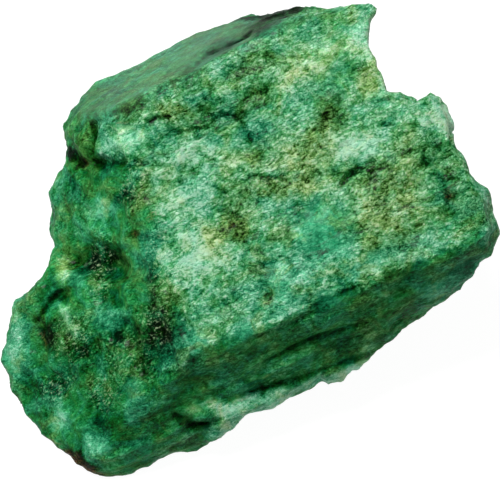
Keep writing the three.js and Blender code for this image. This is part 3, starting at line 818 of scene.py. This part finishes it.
class Nodes:
    """Adds nodes to a material's tree, each with its inputs given by name or number."""

    def __init__(self, material):
        self.tree = material.node_tree

    def feed(self, node, inputs):
        for socket, value in inputs.items():
            if isinstance(value, bpy.types.NodeSocket):
                self.tree.links.new(value, node.inputs[socket])
            else:
                node.inputs[socket].default_value = value

    def add(self, kind, inputs, **settings):
        node = self.tree.nodes.new(kind)
        for name, value in settings.items():
            setattr(node, name, value)
        self.feed(node, inputs)
        return node

    def math(self, operation, first, second=0.0, third=0.0):
        return self.add("ShaderNodeMath", {0: first, 1: second, 2: third}, operation=operation).outputs[0]

    def mask(self, name):
        return self.add("ShaderNodeAttribute", {}, attribute_name=name).outputs["Fac"]

    def pattern(self, vector, stretch, scale, detail, roughness, distortion):
        """Noise drawn out along the prism axis: the vector's first part is scaled by stretch."""
        stretched = {0: vector, 1: (stretch, 1.0, 1.0)}
        drawn_out = self.add("ShaderNodeVectorMath", stretched, operation="MULTIPLY")
        noise = {"Vector": drawn_out.outputs[0], "Scale": scale, "Detail": detail, "Roughness": roughness,
                 "Distortion": distortion}
        return self.add("ShaderNodeTexNoise", noise).outputs["Fac"]

    def span(self, value, low, high, to_low=0.0, to_high=1.0):
        """to_low below low, to_high above high, and a smooth step between them."""
        limits = {"Value": value, "From Min": low, "From Max": high, "To Min": to_low, "To Max": to_high}
        return self.add("ShaderNodeMapRange", limits, interpolation_type="SMOOTHSTEP").outputs["Result"]

    def vein(self, value, width, at_middle, away):
        """at_middle where a noise crosses its middle value, and away where it is width or more off it."""
        off = self.math("ABSOLUTE", self.math("SUBTRACT", value, 0.5))
        return self.span(off, 0.0, width, at_middle, away)

    def swings(self, parts):
        """The sum of strength * (value - middle) over (value, middle, strength)."""
        total = 0.0
        for value, middle, strength in parts:
            total = self.math("MULTIPLY_ADD", self.math("SUBTRACT", value, middle), strength, total)
        return total

    def ramp(self, value, stops):
        node = self.add("ShaderNodeValToRGB", {"Fac": value})
        elements = node.color_ramp.elements
        for place, _ in stops[2:]:
            elements.new(place)
        for element, (place, colour) in zip(elements, stops):
            element.position = place
            element.color = colour
        return node.outputs["Color"]

    def mix(self, share, first, second):
        return self.add("ShaderNodeMix", {0: share, 6: first, 7: second}, data_type="RGBA").outputs[2]


# Colours from dark to light for the clear green body, its sugary parts, its cool parts and its stained parts.
GREEN_TONES = [
    (0.0, linear(2, 26, 6)), (0.2, linear(6, 74, 22)), (0.4, linear(20, 112, 48)),
    (0.6, linear(46, 150, 80)), (0.8, linear(92, 188, 122)), (1.0, linear(166, 220, 178)),
]
PALE_TONES = [
    (0.0, linear(3, 32, 8)), (0.2, linear(20, 92, 34)), (0.4, linear(48, 133, 66)),
    (0.6, linear(83, 170, 102)), (0.8, linear(127, 206, 143)), (1.0, linear(192, 240, 200)),
]
TEAL_TONES = [
    (0.0, linear(2, 34, 20)), (0.2, linear(10, 84, 52)), (0.4, linear(30, 124, 82)),
    (0.6, linear(62, 164, 116)), (0.8, linear(110, 202, 154)), (1.0, linear(172, 234, 200)),
]
OLIVE_TONES = [
    (0.0, linear(10, 18, 4)), (0.25, linear(42, 76, 24)), (0.5, linear(84, 136, 62)),
    (0.75, linear(134, 184, 102)), (1.0, linear(200, 228, 164)),
]
# Painted light: a pale colour for glints on the grains and sheen on the bevel, and a cream one for glints in
# the sparkling places.
PAINTED_SHINE_COLOUR = linear(206, 234, 212)
GLINT_COLOUR = linear(190, 218, 168)
RUST_COLOUR = linear(138, 100, 66)

# Noise patterns: stretch along the prism axis, scale per stone millimetre, detail, roughness and distortion.
PATTERNS = {
    "hue": (1.0, 0.3, 3.0, 0.65, 0.5),
    "cloud": (1.0, 0.26, 2.0, 0.8, 0.5),
    "mottle": (1.0, 0.7, 3.0, 0.7, 0.3),
    "crumbs": (0.55, 3.2, 4.0, 0.8, 0.4),
    "streak": (0.3, 1.9, 4.0, 0.7, 0.3),
    "flake": (0.55, 1.5, 3.0, 0.7, 0.8),
    "seam": (1.0, 0.9, 4.0, 0.6, 0.6),
}
MASKS = ("lightness", "sugar", "grain", "painted_sheen", "gloss", "olive", "teal", "sparkle", "rust")
FLAKE_WIDTH, SEAM_WIDTH = 0.05, 0.03
SPECK_DARK = 0.2
FLECK_GAIN = 0.32
PAINTED_SHINE_LIMIT = 0.85
BUMP_DISTANCE = 0.0012


def emerald_material():
    """Cloudy emerald. A tone, which is the lightness mask plus grain, picks a colour from each of four ramps.
    Masks and slow noise mix the ramps. Painted glints on the pale grains, painted sheen on the bevel, painted
    glints in the sparkling places and rusty specks lie over them."""
    material = bpy.data.materials.new("emerald")
    material.use_nodes = True
    nodes = Nodes(material)
    shader = material.node_tree.nodes["Principled BSDF"]
    place = nodes.add("ShaderNodeTexCoord", {}).outputs["Object"]
    to_stone = {"Vector": place, "Rotation": (-LEAN, 0.0, -AXIS_TURN), "Scale": (1 / METRES,) * 3}
    stone = nodes.add("ShaderNodeMapping", to_stone).outputs[0]
    hue, cloud, mottle, crumbs, streak, flake, seam = (
        nodes.pattern(stone, *values) for values in PATTERNS.values())
    flake = nodes.vein(flake, FLAKE_WIDTH, 0.0, 1.0)
    seam = nodes.vein(seam, SEAM_WIDTH, 1.0, 0.0)
    lightness, sugar, grain, painted_sheen, gloss, olive, teal, sparkle, rust = (nodes.mask(name) for name in MASKS)

    # the tone
    uneven = nodes.swings([
        (cloud, 0.5, 0.9), (mottle, 0.5, 0.9), (crumbs, 0.5, 1.8), (flake, 0.8, 0.26), (streak, 0.5, 0.3),
        (seam, 0.0, -0.18),
    ])
    specks = nodes.span(nodes.math("ADD", crumbs, mottle), 0.98, 0.86)
    specks = nodes.math("MULTIPLY", specks, nodes.math("MULTIPLY", olive, SPECK_DARK))
    uneven = nodes.math("SUBTRACT", uneven, specks)
    strength = nodes.span(grain, 0.0, 1.0, 0.15, 1.0)
    tone = nodes.math("MULTIPLY_ADD", uneven, strength, lightness)

    # the four ramps mixed
    paleness = nodes.math("MULTIPLY", sugar, nodes.span(mottle, 0.36, 0.58, 0.35, 1.0))
    coolness = nodes.math("ADD", nodes.span(hue, 0.47, 0.64, 0.0, 0.8), teal)
    tinge = nodes.math("MULTIPLY", olive, nodes.span(mottle, 0.44, 0.62, 1.0, 0.5))
    tinge = nodes.math("ADD", tinge, nodes.span(hue, 0.5, 0.34, 0.0, 0.55))
    body = nodes.mix(paleness, nodes.ramp(tone, GREEN_TONES), nodes.ramp(tone, PALE_TONES))
    body = nodes.mix(coolness, body, nodes.ramp(tone, TEAL_TONES))
    body = nodes.mix(tinge, body, nodes.ramp(tone, OLIVE_TONES))

    # painted glints on the pale grains and painted sheen on the bevel, painted glints in the sparkling
    # places, and the rust over them
    flecks = nodes.swings([(crumbs, 0.5, 3.2), (streak, 0.5, 0.8), (mottle, 0.5, 1.0)])
    flecks = nodes.math("MULTIPLY", flecks, nodes.math("MULTIPLY", grain, FLECK_GAIN))
    painted_shine = nodes.math("MULTIPLY", nodes.math("MAXIMUM", flecks, 0.0), sugar)
    painted_shine = nodes.math("ADD", nodes.math("MULTIPLY", painted_shine, nodes.span(tone, 0.25, 0.6)), painted_sheen)
    body = nodes.mix(nodes.math("MINIMUM", painted_shine, PAINTED_SHINE_LIMIT), body, PAINTED_SHINE_COLOUR)
    glints = nodes.math("MULTIPLY", sparkle, nodes.span(crumbs, 0.56, 0.63))
    body = nodes.mix(glints, body, GLINT_COLOUR)
    specks = nodes.math("MULTIPLY", rust, nodes.span(crumbs, 0.46, 0.6))
    body = nodes.mix(specks, body, RUST_COLOUR)

    # the bump and the shine
    bump_height = nodes.math("MULTIPLY_ADD", streak, 0.3, nodes.math("MULTIPLY_ADD", seam, -0.15, crumbs))
    bump_height = nodes.math("MULTIPLY_ADD", flake, 0.25, bump_height)
    bump_height = nodes.math("MULTIPLY", nodes.math("ADD", bump_height, mottle), strength)
    bump = nodes.add("ShaderNodeBump", {"Strength": 0.9, "Distance": BUMP_DISTANCE, "Height": bump_height})
    roughness = nodes.span(sugar, 0.0, 0.6, 0.24, 0.42)
    roughness = nodes.math("ADD", roughness, nodes.math("MULTIPLY", crumbs, 0.1))
    nodes.feed(shader, {
        "Base Color": body, "Roughness": roughness, "Normal": bump.outputs[0], "IOR": 1.58,
        "Specular IOR Level": 0.02, "Coat Weight": gloss, "Coat IOR": 1.5, "Coat Roughness": 0.2,
        "Subsurface Weight": 0.1, "Subsurface Radius": (0.5, 1.5, 0.9), "Subsurface Scale": 0.001,
    })
    return material


# ---- the studio ----

def aim(thing, target):
    """Points an object's -Z at a place."""
    thing.rotation_euler = (Vector(target) - thing.location).to_track_quat("-Z", "Y").to_euler()


def softbox(name, location, size, energy):
    """A round lamp aimed at the stone."""
    light = bpy.data.lights.new(name, "AREA")
    light.shape = "DISK"
    light.size = size
    light.energy = energy
    lamp = bpy.data.objects.new(name, light)
    bpy.context.collection.objects.link(lamp)
    lamp.location = location
    aim(lamp, (0.0, 0.0, REST_HEIGHT * METRES))


WHITE = (1.0, 1.0, 1.0, 1.0)
ROOM_LIGHT = 0.31
TABLE_SIZE_METRES = 4.0
TABLE_COLOUR = (0.1, 0.1, 0.1, 1.0)
TABLE_GLOW = 0.96
SOFTBOX_PLACE = (-0.15, 0.115, 0.46)
SOFTBOX_SIZE = 0.2
SOFTBOX_ENERGY = 4.1


def studio():
    """A white light table, a softbox high up behind and a little to the left, and weak light all round."""
    world = bpy.data.worlds.new("studio")
    bpy.context.scene.world = world
    world.use_nodes = True
    background = world.node_tree.nodes["Background"]
    background.inputs["Color"].default_value = WHITE
    background.inputs["Strength"].default_value = ROOM_LIGHT

    bpy.ops.mesh.primitive_plane_add(size=TABLE_SIZE_METRES)
    floor = bpy.context.object
    floor.name = "floor"
    table = bpy.data.materials.new("light_table")
    table.use_nodes = True
    surface = table.node_tree.nodes["Principled BSDF"]
    surface.inputs["Base Color"].default_value = TABLE_COLOUR
    surface.inputs["Roughness"].default_value = 0.9
    surface.inputs["Emission Color"].default_value = WHITE
    surface.inputs["Emission Strength"].default_value = TABLE_GLOW
    floor.data.materials.append(table)

    softbox("softbox", SOFTBOX_PLACE, SOFTBOX_SIZE, SOFTBOX_ENERGY)
    bpy.context.scene.view_settings.view_transform = "Standard"


SENSOR = 36.0                       # the camera's sensor width, in its own millimetres
VIEW_WIDTH = 61.2                   # stone millimetres across the picture, level with the stone's middle
VIEW_DISTANCE = 420.0
VIEW_MIDDLE = (0.4, -0.7)           # what the camera looks at, in U and V


def place_camera():
    """A long lens looking back along W."""
    lens = bpy.data.cameras.new("camera")
    lens.sensor_width = SENSOR
    lens.lens = SENSOR * VIEW_DISTANCE / VIEW_WIDTH
    lens.clip_start = 0.01
    camera = bpy.data.objects.new("camera", lens)
    bpy.context.collection.objects.link(camera)
    middle, eye = lie_down(np.array([(*VIEW_MIDDLE, 0.0), (*VIEW_MIDDLE, VIEW_DISTANCE)]))
    camera.location = eye
    aim(camera, middle)
    bpy.context.scene.camera = camera


crystal = build_crystal()
crystal.data.materials.append(emerald_material())
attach(crystal, "root")
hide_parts(NODE)
studio()
place_camera()
